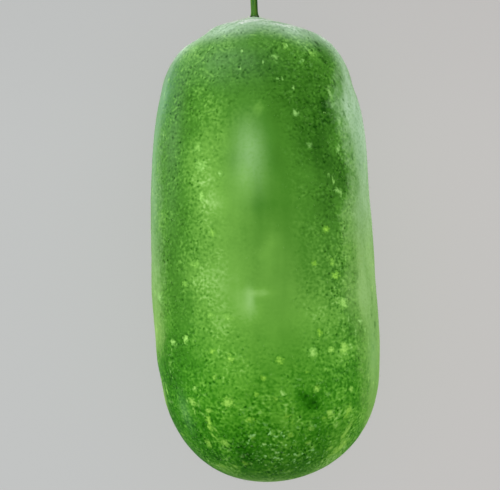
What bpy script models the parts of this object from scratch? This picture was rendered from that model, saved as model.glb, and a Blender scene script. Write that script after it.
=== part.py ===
"""Ash gourd, picked and lying on its side.

The fruit is one solid that grew as one piece, and its cut stem is a second one. Metres, +Z up.
The long axis runs along Y with the stem end at +Y, +X is the side that bellies out, and the
origin is on the surface that the gourd lies on, under its balance point.
"""

import math

import bmesh
import bpy
import numpy as np
from mathutils import Matrix

# Size of the fruit
FRUIT_LENGTH = 0.380          # from the foot of the stem to the blossom pole
FRUIT_RADIUS = 0.0911         # at the widest ring
WIDEST_STATION = 0.2665       # distance of the widest ring from the foot of the stem
BALANCE_STATION = 0.194       # distance of the balance point from the foot of the stem

# Each end is a superellipse: "along" squares it off lengthwise, "across" rounds its corner
SHOULDER_ALONG = 4.06
SHOULDER_ACROSS = 3.64
BLOSSOM_ALONG = 2.46
BLOSSOM_ACROSS = 2.09

# Low cone that the stem stands on, and the hollow of the blossom scar
CONE_HEIGHT = 0.0105
CONE_SPREAD = 0.024
CONE_TIP_ROUNDING = 0.005
SCAR_DEPTH = 0.0014
SCAR_RADIUS = 0.0075

# Bend of the centreline to +X, greatest at a share of the length, and the stem's place beside it
BOW = 0.0093
BOW_PEAK = 0.865
BOW_GROWTH = 2.85
CENTRELINE_X = -0.0039        # start of the centreline, so that the weight is over the origin
STEM_OFFSET = -0.0033
STEM_OFFSET_FADE = 0.011

# Shallow lobes round the girth: number of lobes, share of the radius, phase in degrees
LOBES = ((3, 0.0050, 30.0), (5, 0.0045, 18.0), (10, 0.0040, 9.0))
LOBE_AT_BELLY = 0.45          # share of that height left past the shoulder
LOBE_FADE = 0.075             # distance from the stem in which it falls to that

# Gentle swellings and dents: station, angle round the fruit, height, half length, half angle
UNEVENNESS = (
    (0.0180, 180.0, -0.0082, 0.0070, 36.0),    # notch over the left shoulder
    (0.0070, 0.0, -0.0060, 0.0060, 45.0),
    (0.0480, 180.0, 0.0015, 0.0150, 30.0),
    (0.0580, 0.0, -0.0018, 0.0100, 18.0),
    (0.1350, 180.0, -0.0005, 0.0400, 60.0),
    (0.1450, 0.0, -0.0010, 0.0300, 50.0),
    (0.2300, 180.0, 0.0012, 0.0200, 40.0),
    (0.2500, 0.0, 0.0009, 0.0200, 40.0),
    (0.2980, 180.0, -0.0011, 0.0130, 30.0),
    (0.0900, 62.0, -0.0014, 0.0350, 16.0),
    (0.1700, 118.0, 0.0010, 0.0450, 20.0),
    (0.2450, 78.0, -0.0009, 0.0300, 22.0),
    (0.3150, 55.0, 0.0010, 0.0200, 26.0),
    (0.0700, 238.0, 0.0016, 0.0250, 24.0),
    (0.1250, 318.0, -0.0015, 0.0350, 20.0),
    (0.2500, 215.0, -0.0013, 0.0300, 18.0),
    (0.3100, 325.0, -0.0012, 0.0220, 24.0),
)

# Flat spot that the gourd rests on
REST_DEPTH = 0.0022           # how far the surface cuts into the round shape
REST_BLEND = 0.0010           # half height over which the flat runs out into the round

# Stem, five-ridged and cut off
STEM_LENGTH = 0.045
STEM_RADIUS = 0.0028
STEM_FOOT_RADIUS = 0.0037
STEM_RIDGES = 5
STEM_RIDGE_SHARE = 0.09       # height of a ridge as a share of the radius
STEM_SAG = 0.0030             # how far the cut end hangs below the foot
JOINT_GAP = 0.0003            # between the fruit and the stem

# Facets
GIRTH_SEGMENTS = 72
LENGTH_RINGS = 56
RING_CROWDING = 0.70          # 0 spaces the rings evenly, 1 crowds them at the two poles
PROFILE_SAMPLES = 1200
STEM_PROFILE_POINTS = 30
STEM_PATH_POINTS = 12

AXIS_HEIGHT = FRUIT_RADIUS - REST_DEPTH
STEM_FOOT_Y = BALANCE_STATION


def clear_scene():
    """Remove every object, so that the model starts from nothing."""
    for item in list(bpy.data.objects):
        bpy.data.objects.remove(item, do_unlink=True)


def new_collection(name):
    """Make a collection linked to the scene."""
    collection = bpy.data.collections.new(name)
    bpy.context.scene.collection.children.link(collection)
    return collection


def plain_material(name, colour, roughness, metallic=0.0):
    """Make a Principled material of one colour."""
    material = bpy.data.materials.new(name)
    material.use_nodes = True
    shader = material.node_tree.nodes["Principled BSDF"]
    shader.inputs["Base Color"].default_value = (*colour, 1.0)
    shader.inputs["Roughness"].default_value = roughness
    shader.inputs["Metallic"].default_value = metallic
    return material


def half_profile(start, end, along, across, samples):
    """Stations and radii of one superellipse end, from its pole to the widest ring."""
    step = np.linspace(0.0, 1.0, samples)
    angle = 0.5 * math.pi * step * step * (3.0 - 2.0 * step)
    station = end + (start - end) * np.clip(np.cos(angle), 0.0, 1.0) ** (2.0 / along)
    radius = FRUIT_RADIUS * np.sin(angle) ** (2.0 / across)
    return station, radius


def fruit_profile():
    """The fruit's outline as stations and radii against the share of its length walked."""
    top_station, top_radius = half_profile(
        CONE_HEIGHT, WIDEST_STATION, SHOULDER_ALONG, SHOULDER_ACROSS, PROFILE_SAMPLES)
    low_station, low_radius = half_profile(
        FRUIT_LENGTH, WIDEST_STATION, BLOSSOM_ALONG, BLOSSOM_ACROSS, PROFILE_SAMPLES)
    station = np.concatenate((top_station, low_station[-2::-1]))
    radius = np.concatenate((top_radius, low_radius[-2::-1]))
    rounded = np.sqrt(radius ** 2 + CONE_TIP_ROUNDING ** 2) - CONE_TIP_ROUNDING
    on_shoulder = station < WIDEST_STATION
    station = station - np.where(on_shoulder, CONE_HEIGHT * np.exp(-rounded / CONE_SPREAD), 0.0)
    scar = SCAR_DEPTH * np.exp(-(radius / SCAR_RADIUS) ** 2)
    station = station - np.where(on_shoulder, 0.0, scar)
    walked = np.concatenate(([0.0], np.cumsum(np.hypot(np.diff(station), np.diff(radius)))))
    return walked / walked[-1], station, radius


def centreline_x(station):
    """Sideways place of the fruit's middle at a distance from the stem."""
    share = station / FRUIT_LENGTH / BOW_PEAK
    bow = BOW * math.sin(0.5 * math.pi * max(share, 0.0) ** BOW_GROWTH)
    return CENTRELINE_X + bow + STEM_OFFSET * math.exp(-(station / STEM_OFFSET_FADE) ** 2)


def unevenness(station, angle):
    """Height of the swellings and dents at a place on the skin."""
    height = 0.0
    for place, direction, rise, half_length, half_angle in UNEVENNESS:
        turn = (angle - direction + 180.0) % 360.0 - 180.0
        height += rise * math.exp(-((station - place) / half_length) ** 2 - (turn / half_angle) ** 2)
    return height


def lobe_share(station, angle):
    """Share of the radius that the lobes add."""
    strength = LOBE_AT_BELLY + (1.0 - LOBE_AT_BELLY) * math.exp(-(station / LOBE_FADE) ** 2)
    return strength * sum(
        share * math.cos(count * math.radians(angle - phase)) for count, share, phase in LOBES)


def rest_height(height):
    """Height above the surface, with the underside pressed flat and blended into the round."""
    if height <= -REST_BLEND:
        return 0.0
    if height < REST_BLEND:
        return (height + REST_BLEND) ** 2 / (4.0 * REST_BLEND)
    return height


def skin_point(share, angle, profile):
    """Point of the skin at a share of the way down the profile and an angle round the girth."""
    walked, stations, radii = profile
    crowded = share - RING_CROWDING * math.sin(2.0 * math.pi * share) / (2.0 * math.pi)
    station = float(np.interp(crowded, walked, stations))
    radius = float(np.interp(crowded, walked, radii))
    full = min(radius / (0.5 * FRUIT_RADIUS), 1.0)
    radius += full * (unevenness(station, angle) + radius * lobe_share(station, angle))
    turn = math.radians(angle)
    x = centreline_x(station) + radius * math.cos(turn)
    z = rest_height(AXIS_HEIGHT + radius * math.sin(turn))
    return x, STEM_FOOT_Y - station, z


def make_fruit(collection):
    """The fruit: a sphere whose rings are laid along the fruit's own profile."""
    profile = fruit_profile()
    mesh = bpy.data.meshes.new("fruit")
    shape = bmesh.new()
    bmesh.ops.create_uvsphere(
        shape, u_segments=GIRTH_SEGMENTS, v_segments=LENGTH_RINGS, radius=1.0,
        matrix=Matrix.Rotation(math.radians(-90.0), 4, "X"))
    for vertex in shape.verts:
        share = math.acos(max(-1.0, min(1.0, vertex.co.y))) / math.pi
        angle = math.degrees(math.atan2(vertex.co.z, vertex.co.x)) % 360.0
        vertex.co = skin_point(share, angle, profile)
    bmesh.ops.triangulate(shape, faces=shape.faces)
    bmesh.ops.recalc_face_normals(shape, faces=shape.faces)
    shape.to_mesh(mesh)
    shape.free()
    mesh.shade_smooth()
    mesh.materials.append(plain_material("gourd_skin", (0.075, 0.185, 0.030), 0.42))
    fruit = bpy.data.objects.new("fruit", mesh)
    collection.objects.link(fruit)
    return fruit


def poly_curve(name, points, closed, collection):
    """A curve object of one straight-segment spline through the points."""
    curve = bpy.data.curves.new(name, "CURVE")
    spline = curve.splines.new("POLY")
    spline.points.add(len(points) - 1)
    for target, point in zip(spline.points, points):
        target.co = (*point, 1.0)
    spline.use_cyclic_u = closed
    item = bpy.data.objects.new(name, curve)
    collection.objects.link(item)
    return item


def stem_section(collection):
    """Guide with the stem's ridged cross-section, of unit radius."""
    points = []
    for index in range(STEM_PROFILE_POINTS):
        turn = -2.0 * math.pi * index / STEM_PROFILE_POINTS
        reach = 1.0 + STEM_RIDGE_SHARE * math.cos(STEM_RIDGES * turn)
        points.append((reach * math.cos(turn), reach * math.sin(turn), 0.0))
    section = poly_curve("stem_section", points, True, collection)
    section.data.dimensions = "2D"
    section.hide_render = True
    section.display_type = "WIRE"
    return section


def stem_radius(share):
    """The stem's radius along its length, flared at the foot and a little at the cut."""
    foot = (STEM_FOOT_RADIUS - STEM_RADIUS) * math.exp(-(share / 0.09) ** 2)
    cut = 0.10 * STEM_RADIUS * share ** 3
    return STEM_RADIUS + foot + cut


def make_stem(collection, guides):
    """The cut stem: a ridged section swept from the fruit's cone to the cut end."""
    foot_x = CENTRELINE_X + STEM_OFFSET
    shares = [(index / (STEM_PATH_POINTS - 1)) ** 1.4 for index in range(STEM_PATH_POINTS)]
    points = [
        (foot_x, STEM_FOOT_Y + JOINT_GAP + STEM_LENGTH * share, AXIS_HEIGHT - STEM_SAG * share ** 2)
        for share in shares]
    stem = poly_curve("stem", points, False, collection)
    for target, share in zip(stem.data.splines[0].points, shares):
        target.radius = stem_radius(share)
    stem.data.dimensions = "3D"
    stem.data.bevel_mode = "OBJECT"
    stem.data.bevel_object = stem_section(guides)
    stem.data.use_fill_caps = True
    stem.data.materials.append(plain_material("stem_green", (0.090, 0.160, 0.035), 0.60))
    return stem


def main():
    """Build the gourd."""
    clear_scene()
    parts = new_collection("ash_gourd")
    guides = new_collection("guides")
    make_fruit(parts)
    make_stem(parts, guides)


main()
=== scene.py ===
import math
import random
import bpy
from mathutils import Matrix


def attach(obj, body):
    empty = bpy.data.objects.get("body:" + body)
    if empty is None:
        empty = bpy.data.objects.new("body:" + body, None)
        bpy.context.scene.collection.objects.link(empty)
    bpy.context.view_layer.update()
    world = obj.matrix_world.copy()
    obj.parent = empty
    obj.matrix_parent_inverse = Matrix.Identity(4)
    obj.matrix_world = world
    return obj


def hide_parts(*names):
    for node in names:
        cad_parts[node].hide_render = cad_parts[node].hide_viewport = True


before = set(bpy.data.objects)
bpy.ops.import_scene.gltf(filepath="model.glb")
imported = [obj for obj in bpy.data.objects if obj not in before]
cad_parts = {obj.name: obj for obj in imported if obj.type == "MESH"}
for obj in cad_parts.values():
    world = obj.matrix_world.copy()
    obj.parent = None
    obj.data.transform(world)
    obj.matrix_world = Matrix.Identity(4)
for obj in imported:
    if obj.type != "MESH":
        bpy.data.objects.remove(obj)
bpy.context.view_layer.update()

# The looks of an ash gourd that lies on its side, seen from straight above.
# The skin has the solid's shape at a finer grain. Its net of pits, flecks, wax and hairs are added
# here, with painted highlights, light and shade in its tones and painted sheen on its sides. +Y points
# towards the stem and +Z up. A station is a distance from the stem's foot. An angle goes round the
# fruit, with 0 on the right, at +X, and 90 on top. Lengths are in metres, but those in tables with
# stations are in millimetres.

from types import SimpleNamespace

import bpy
import numpy as np
from mathutils import Vector, noise

MM = 0.001

# Shape of the fruit and its stem, as in the solids
FRUIT_LENGTH = 0.380
FRUIT_RADIUS = 0.0911
WIDEST_STATION = 0.2665
BALANCE_STATION = 0.194
SHOULDER_ALONG = 4.06
SHOULDER_ACROSS = 3.64
BLOSSOM_ALONG = 2.46
BLOSSOM_ACROSS = 2.09
CONE_HEIGHT = 0.0105
CONE_SPREAD = 0.024
CONE_TIP_ROUNDING = 0.005
SCAR_DEPTH = 0.0014
SCAR_RADIUS = 0.0075
CORK_RADIUS = 0.0065
BOW = 0.0093
BOW_PEAK = 0.865
BOW_GROWTH = 2.85
CENTRELINE_X = -0.0039
STEM_OFFSET = -0.0033
STEM_OFFSET_FADE = 0.011
# Lobes round the girth: count, share of the radius, angle of the first crest
LOBES = ((3, 0.0050, 30.0), (5, 0.0045, 18.0), (10, 0.0040, 9.0))
LOBE_AT_BELLY = 0.45
LOBE_FADE = 0.075
# Swellings and dents: station, angle, height, half length, half angle
UNEVENNESS = (
    (18, 180, -8.2, 7, 36), (7, 0, -6, 6, 45), (48, 180, 1.5, 15, 30), (58, 0, -1.8, 10, 18),
    (135, 180, -0.5, 40, 60), (145, 0, -1, 30, 50), (230, 180, 1.2, 20, 40), (250, 0, 0.9, 20, 40),
    (298, 180, -1.1, 13, 30), (90, 62, -1.4, 35, 16), (170, 118, 1, 45, 20), (245, 78, -0.9, 30, 22),
    (315, 55, 1, 20, 26), (70, 238, 1.6, 25, 24), (125, 318, -1.5, 35, 20), (250, 215, -1.3, 30, 18),
    (310, 325, -1.2, 22, 24),
)
REST_DEPTH = 0.0022
REST_BLEND = 0.0010
STEM_LENGTH = 0.045
STEM_RADIUS = 0.0028
STEM_FOOT_RADIUS = 0.0037
STEM_FOOT_SHARE = 0.055     # share of the stem's length over which its foot narrows
STEM_RIDGES = 5
STEM_RIDGE_SHARE = 0.09
STEM_ROUGHNESS = 0.035
STEM_SAG = 0.0030
STEM_LEAN = -0.0014
STEM_WIDENING = 0.10        # share of its radius that it gains at its cut end
STEM_SUNK = 0.0006          # depth of its foot in the fruit's cone
STEM_OVERLENGTH = 0.0009
STEM_DISH = 0.0006
AXIS_HEIGHT = FRUIT_RADIUS - REST_DEPTH

# Fineness of the meshes
GIRTH_SEGMENTS = 336
LENGTH_RINGS = 292
RING_CROWDING = 0.30
POLE_ANGLE = 90.0
PROFILE_SAMPLES = 4000
STEM_SIDES = 60
STEM_RINGS = 90
STEM_END_RINGS = 8

# Photograph's frame, as real sizes at the height of the fruit's axis
FRAME_WIDTH_PX = 500
FRAME_HEIGHT_PX = 490
STEM_FOOT_PX = (258.5, 17.0)
BLOSSOM_POLE_PX = 480.0
PIXEL = FRUIT_LENGTH / (BLOSSOM_POLE_PX - STEM_FOOT_PX[1])
CAMERA_DISTANCE = 1.10
SENSOR_WIDTH = 36.0

# Pale flecks: station, angle, half length, half width, strength, paleness
FLECKS = (
    (297, 67, 2.5, 1.8, 1, 0.1), (260, 134, 2.9, 2.8, 1, 0.5), (344, 89, 1.4, 1.2, 0.5, 0.9),
    (267, 50, 3.7, 3.7, 1, 0.3), (299, 84, 2, 2.1, 1, 0.6), (307, 112, 3.7, 3.5, 1, 0.2),
    (269, 68, 3.7, 3.1, 0.9, 0.5), (42, 80, 2.5, 2.1, 0.5, 0.8), (232, 49, 3.7, 3.8, 0.9, 0.5),
    (267, 58, 2.5, 2.4, 0.9, 0.3), (298, 131, 2, 2.2, 0.8, 0.5), (316, 58, 3.3, 2.9, 0.8, 0.2),
    (210, 53, 2.5, 3.6, 0.8, 0.1), (309, 134, 3.3, 4, 0.8, 0.3), (316, 46, 3.7, 3.4, 0.8, 0.1),
    (298, 46, 2, 2.3, 0.8, 0.3), (263, 144, 2.5, 2.8, 0.8, 0.6), (274, 85, 2.5, 2.5, 0.8, 0.1),
    (273, 109, 2.9, 2.2, 0.8, 0.2), (326, 52, 1.6, 2.6, 0.8, 0.4), (327, 68, 2, 2.2, 0.8, 0.2),
    (339, 68, 2, 1.8, 0.7, 0.1), (332, 79, 2, 2.1, 0.7, 0), (287, 93, 2, 2.1, 0.7, 0),
    (200, 55, 2.5, 2, 0.7, 0.2), (314, 124, 1.6, 3, 0.7, 0.2), (145, 48, 2, 3.4, 0.5, 0.8),
    (339, 94, 0.8, 1.6, 0.7, 0.4), (320, 101, 2, 2.9, 0.7, 0), (217, 132, 2, 2.7, 0.7, 0.4),
    (268, 118, 2, 1.9, 0.7, 0.1), (242, 109, 2.5, 3.5, 0.6, 0.4), (247, 37, 1.8, 2.2, 0.9, 1),
    (241, 118, 2, 3.2, 0.6, 0.4), (134, 54, 1.6, 1.5, 0.4, 0.7), (175, 58, 2.5, 2.9, 0.6, 0),
    (32, 140, 2.5, 3.9, 0.6, 1), (346, 96, 1.5, 1.4, 0.5, 0.8), (288, 118, 1.6, 1.8, 0.6, 0.2),
    (150, 120, 3.3, 2.4, 0.6, 0.6), (350, 99, 1.2, 1.2, 0.6, 0.9), (201, 65, 2, 2.3, 0.6, 0),
    (300, 97, 2, 1.7, 0.5, 0), (113, 46, 3.7, 2.3, 0.4, 0.9), (202, 125, 2, 3.5, 0.5, 0.4),
    (280, 149, 2, 2.4, 0.5, 0.5), (229, 154, 3.3, 4.6, 0.5, 1), (112, 123, 3.3, 2.9, 0.5, 0.6),
    (33, 73, 2.9, 1.7, 0.5, 0.5), (87, 71, 3, 2.2, 0.5, 0.9), (304, 88, 2, 1.6, 0.5, 0.1),
    (218, 47, 1.6, 1.7, 0.5, 0.5), (177, 115, 2.5, 2.7, 0.5, 0.3), (337, 42, 3.7, 3, 0.5, 0.1),
    (126, 121, 3.7, 3.8, 0.5, 0.7), (357, 108, 2.9, 2.2, 0.5, 0), (38, 54, 2.5, 2, 0.5, 0.4),
    (133, 110, 2, 1.7, 0.5, 0.8), (322, 79, 1.6, 1.3, 0.5, 0), (346, 49, 1.6, 2.7, 0.5, 0.1),
    (320, 61, 2, 1.9, 0.5, 0), (317, 82, 2, 2.9, 0.4, 0), (283, 72, 1.6, 2.2, 0.4, 0),
    (334, 101, 2, 2.1, 0.4, 0), (111, 64, 2.2, 2.7, 0.4, 0.9), (313, 45, 3, 2.4, 0.6, 0.1),
    (297, 67, 2.4, 2.4, 0.7, 0.2), (254, 64, 2.4, 2.2, 0.9, 0), (198, 46, 3.4, 0.8, 0.5, 0.7),
    (243, 46, 3, 0.7, 0.4, 1), (254, 33, 1.6, 1.2, 0.7, 1), (38, 101, 1.8, 0.8, 0.8, 0.9),
    (52, 101, 2.2, 0.8, 0.6, 0.9), (47, 88, 1.8, 0.8, 0.6, 0.9), (44, 62, 1.2, 1.2, 0.9, 0.9),
    (60, 80, 1.2, 1, 0.7, 0.9), (60, 77, 1.2, 1, 0.7, 0.9), (67, 71, 1.8, 0.8, 0.7, 0.9),
    (33, 71, 2.2, 0.8, 0.7, 0.8), (29, 61, 1.8, 1, 0.7, 0.9), (24, 95, 0.8, 3.4, 0.5, 0.5),
    (289, 76, 0.8, 2.4, 0.6, 0.9), (85, 53, 1.2, 1.1, 0.9, 0.8), (326, 68, 1.8, 1, 0.8, 0.8),
    (340, 94, 0.9, 1.5, 0.9, 1), (347, 86, 1.2, 1.6, 0.9, 0.9), (315, 48, 2.6, 1.8, 0.5, 0.3),
    (341, 102, 0.8, 0.8, 0.9, 1), (332, 79, 1.8, 1.8, 0.4, 0.7), (340, 67, 1.2, 1, 0.7, 0.8),
    (338, 59, 1, 1, 0.7, 0.8), (358, 93, 1, 1, 0.7, 0.8),
)

# Flecks drawn at random for the skin outside the listed angles, with the same values
EXTRA_FLECKS = 150
FLECK_SEED = 41
LISTED_ANGLES = (25.0, 155.0)
EXTRA_STATIONS = (20, 375)
EXTRA_CROWDING = 0.62
EXTRA_HALF_SIZE = (1.5, 3.4)
EXTRA_STRETCH = (0.8, 1.3)
EXTRA_STRENGTH = (0.35, 1.0)
EXTRA_PALENESS = (0.0, 0.7)

# Pale strokes: station, angle, half length, half width, slant, strength, paleness
STROKES = (
    (324, 125.5, 6.5, 2.1, 4, 0.95, 0.1), (330, 122, 5, 1, -38, 0.45, 0.2),
    (342, 132, 4.2, 2.4, 8, 0.9, 0.15), (336, 124.5, 6, 1, -42, 0.8, 0.2),
    (340, 118.5, 3.6, 2.8, -30, 0.9, 0.2), (308, 138, 2.5, 1, -20, 0.6, 0.5),
    (314, 134.5, 5, 1.1, -8, 0.8, 0.4), (317, 129, 3.4, 0.9, -62, 0.5, 0.5),
    (287, 149, 4, 0.8, -28, 0.55, 0.8), (272, 146, 4, 0.7, 12, 0.5, 0.6), (312, 172, 6, 3.2, -12, 1, 0.1),
    (302, 158, 5, 1.6, -16, 0.8, 0.4), (296, 168, 3, 2.4, 0, 0.7, 0.3), (322, 172, 3, 3, -10, 0.8, 0),
    (362, 132, 4, 3.4, -30, 0.45, 0), (361, 118, 3, 2.6, 0, 0.5, 0.2), (317, 46, 5, 2.6, 8, 1, 0),
    (331, 41, 8, 2.4, 20, 0.8, 0.2), (347, 38.5, 10, 4.4, 34, 0.9, 0.12), (326, 52, 3.2, 1.8, 20, 0.5, 0.5),
    (315, 57, 2.6, 1.8, 10, 0.5, 0.5), (72, 47, 8, 2.2, -6, 0.32, 0.9), (92, 43, 7, 2.2, -4, 0.26, 0.9),
    (66, 158, 4.5, 1.6, -8, 0.4, 0.9), (139, 51, 3.2, 0.9, -10, 0.7, 0.7),
    (148, 46, 2.2, 1.4, 40, 0.5, 0.7), (20, 66, 4, 0.8, -48, 0.6, 1), (25, 62, 4.5, 0.9, -42, 0.6, 0.9),
    (33, 57, 4.5, 0.9, -35, 0.6, 0.9), (24, 118, 3.2, 0.8, 50, 0.5, 0.8), (34, 124, 3, 0.8, 35, 0.5, 0.8),
    (357, 104, 3.2, 1.4, -20, 0.5, 0.5), (256, 41.5, 6, 0.8, 0, 0.6, 0.9), (263, 30, 9, 0.8, 0, 0.4, 0.9),
    (292, 30, 9, 0.9, -4, 0.6, 0.5),
)

# Dark marks: station, angle, half length, half width, slant, strength
DARK_MARKS = (
    (80, 53, 4.6, 1.5, -5, 1), (73, 37, 1.8, 0.9, -20, 0.7), (77, 32, 1.8, 1, -30, 0.7),
    (85, 38, 2.4, 0.9, -10, 0.6), (89, 27, 2, 1.8, 0, 0.5), (105, 36, 5, 1.2, 0, 0.4),
    (118, 35, 2.4, 1.6, 20, 0.55), (123, 28, 1.6, 1.8, 0, 0.6), (67, 9, 3, 2.4, 0, 0.45),
    (54, 34, 4.2, 1, -35, 0.7), (54, 43, 2.4, 1, 0, 0.5), (61, 42, 2.4, 1.2, 0, 0.5),
    (43, 45.5, 2.8, 1.2, -40, 0.9), (43, 59, 1.6, 1.4, 0, 0.8), (34, 46, 3.4, 1.3, -40, 0.8),
    (28, 44, 2.2, 1.2, -40, 0.7), (92, 56, 1.8, 1.6, 0, 0.4), (211, 37, 3.2, 0.9, 5, 0.5),
    (229, 22, 3, 1.4, 0, 0.4), (241, 24, 3, 1.4, 0, 0.5), (250, 20, 2.6, 1.6, 10, 0.6),
    (258, 22, 2.2, 1.4, 0, 0.35), (268, 24, 1.8, 1.4, 0, 0.35), (254, 37, 3.4, 2, 0, 0.6),
    (254, 46, 4.4, 2, 0, 0.5), (301, 74, 3, 3, 0, 0.7), (308, 68.5, 3.6, 3.4, 0, 0.9),
    (327, 130, 5, 1.3, 8, 0.5), (335, 128, 3, 1.5, 0, 0.5), (320, 121, 3, 1.2, -20, 0.4),
    (346, 127, 2.6, 2, 0, 0.4), (350, 104, 3, 3.4, 0, 0.4),
)

# Where small pale flakes gather: station, angle, share, half length, half angle
SPECKLE_PATCHES = (
    (341, 93, 1, 14, 11), (331, 83, 0.35, 10, 7), (330, 66, 0.35, 14, 10), (354, 70, 0.6, 12, 24),
    (45, 66, 0.18, 18, 16), (340, 240, 0.5, 20, 50),
)

# Level of the green, from 0, dark, to 1, bright, before its patches
MIDDLE_LEVEL = 0.50

# Lighter and darker patches: station, angle, strength, half length, half angle. Those near 95 degrees
# at 120, 223 and 228 mm are painted highlights. The lighter band on the left near 112 degrees and the
# darker zone near 60 degrees, from 50 to 150 mm, are partly painted light from the upper left and
# painted shade on the right.
TONE_AND_LIGHT_PATCHES = (
    (150, 112, 0.4, 60, 16), (225, 108, 0.36, 45, 18), (120, 95, 0.38, 30, 7.5), (55, 85, -0.38, 20, 22),
    (85, 62, -0.5, 40, 16), (115, 56, -0.3, 25, 10), (150, 55, -0.22, 20, 10), (195, 84, 0.22, 30, 12),
    (232, 78, 0.24, 22, 26), (240, 58, 0.2, 15, 12), (275, 85, 0.2, 50, 50), (290, 108, 0.15, 35, 12),
    (305, 71, -0.42, 7, 6), (322, 84, 0.18, 15, 12), (322, 50, 0.22, 18, 10), (345, 38, 0.5, 16, 10),
    (296, 62, -0.2, 12, 7), (312, 42, -0.2, 8, 7), (353, 130, -0.26, 6, 6), (68, 158, -0.3, 30, 11),
    (197, 152, -0.18, 14, 8), (322, 32, 0.2, 12, 12), (319, 43, 0.16, 7, 4), (360, 30, 0.34, 12, 16),
    (22, 156, 0.2, 8, 14), (41, 146, 0.2, 6, 8), (53, 122, 0.18, 6, 7), (40, 50, 0.2, 5, 5),
    (156, 114, 0.26, 7, 7), (110, 50, 0.22, 8, 5), (156, 47, 0.26, 8, 6), (168, 42, 0.24, 8, 6),
    (236, 98, 0.2, 10, 6), (248, 112, 0.14, 10, 8), (270, 66, 0.18, 6, 6), (344, 105, -0.46, 11, 9),
    (356, 96, -0.2, 10, 16), (330, 108, -0.18, 8, 6), (329, 92, -0.26, 6, 8), (110, 137, -0.2, 60, 9),
    (200, 139, -0.14, 50, 9), (64, 128, -0.12, 20, 16), (125, 124, 0.18, 22, 8), (210, 122, 0.15, 12, 10),
    (79, 133, -0.22, 12, 8), (30, 144, 0.22, 8, 12), (30, 58, 0.22, 6, 8), (36, 42, -0.18, 10, 7),
    (167, 148, 0.22, 10, 7), (160, 56, -0.24, 12, 8), (135, 44, -0.4, 13, 6), (122, 54, -0.18, 9, 8),
    (88, 50, -0.22, 8, 5), (122, 104, -0.16, 8, 12), (228, 90, -0.14, 20, 9), (272, 52, 0.24, 6, 5),
    (190, 43, 0.25, 10, 5), (76, 80, -0.22, 6, 6), (53, 54, -0.24, 8, 7), (30, 112, 0.18, 6, 10),
    (36, 138, 0.16, 12, 8), (41, 70, 0.16, 10, 7), (99, 128, -0.22, 7, 6), (190, 122, -0.14, 12, 12),
    (230, 134, -0.24, 18, 8), (268, 140, -0.36, 20, 8), (255, 106, -0.2, 40, 6), (337, 139, -0.36, 13, 8),
    (296, 150, -0.24, 14, 10), (322, 160, -0.24, 10, 10), (283, 128, -0.18, 10, 7), (352, 132, -0.2, 6, 7),
    (365, 134, 0.5, 7, 14), (378, 90, 0.8, 6, 90), (361, 34, 0.2, 10, 12), (345, 122, 0.1, 12, 6),
    (318, 143, 0.08, 16, 5), (352, 108, -0.25, 10, 9), (275, 148, -0.18, 12, 8), (285, 50, -0.16, 10, 8),
    (285, 74, -0.12, 12, 9), (227.5, 97.5, 0.22, 8, 2.2), (223.2, 92, 0.3, 3.2, 6), (181, 84, 0.12, 5, 3.5),
    (187, 87, 0.14, 5, 3.5), (194, 90, 0.12, 5, 3.5), (83, 90.5, 0.26, 5, 2.6), (78, 52.5, -0.5, 4.5, 3),
    (16, 45, -0.6, 3, 3), (30, 46, -0.18, 5, 4), (41, 45, -0.3, 4.5, 3), (317, 142, 0.2, 8, 6),
    (318, 121, 0.14, 6, 6), (342, 97, 0.17, 8, 14), (352, 88, 0.15, 6, 16), (323, 82, 0.13, 10, 6),
    (340, 61, -0.14, 14, 7), (363, 112, 0.11, 6, 30), (48, 160, -0.25, 10, 10), (63, 172, -0.22, 8, 10),
    (77, 147, -0.12, 7, 7), (88, 66, 0.13, 6, 6), (122, 82, -0.16, 12, 4.5), (133, 66, 0.17, 6, 5),
    (157, 90, -0.13, 6, 10), (214, 121, 0.12, 6, 6), (175, 20, 0.12, 12, 8), (225, 50, -0.15, 5, 5),
    (256, 54, -0.12, 8, 6), (248, 146, 0.15, 5, 6), (283, 146, 0.12, 5, 6), (352, 150, -0.11, 6, 20),
    (24, 42, -0.1, 6, 8), (44, 112, -0.13, 14, 26), (68, 146, -0.12, 16, 10), (115, 146, -0.11, 25, 6),
    (317, 130, -0.14, 5, 5), (294, 148, -0.1, 8, 10), (266, 46, 0.18, 8, 6), (98, 40, 0.12, 30, 7),
    (370, 90, 0.14, 9, 120), (353, 104, 0.11, 6, 10), (353, 74, 0.12, 6, 6), (363, 85, -0.14, 8, 16),
    (333, 63, -0.1, 8, 6), (53, 162, -0.14, 8, 6), (122, 34, 0.14, 8, 7), (87, 82, -0.11, 6, 4),
    (271, 50, 0.14, 6, 5), (271, 74, -0.12, 6, 5), (283, 34, -0.13, 7, 6), (317, 154, -0.11, 6, 6),
    (329, 130, 0.1, 4, 5), (363, 114, -0.14, 6, 8), (350, 14, 0.2, 22, 9), (157, 43, -0.11, 6, 5),
    (87, 162, -0.12, 10, 6), (64, 50, -0.12, 5, 5), (16, 162, 0.1, 8, 10), (294, 150, -0.1, 6, 7),
    (329, 138, -0.08, 4, 5), (363, 74, 0.12, 4, 5), (317, 62, -0.1, 5, 7), (205, 22, 0.12, 18, 6),
    (358, 22, 0.14, 10, 9), (259, 157, -0.18, 9, 7), (225, 163, -0.12, 6, 7), (330, 158, -0.14, 7, 9),
    (281, 154, -0.1, 6, 6), (110, 228, -0.3, 50, 25), (210, 262, 0.35, 70, 30), (120, 312, 0.35, 60, 20),
    (200, 335, -0.25, 60, 14), (300, 205, 0.25, 40, 20), (290, 330, 0.25, 35, 25),
)

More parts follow.
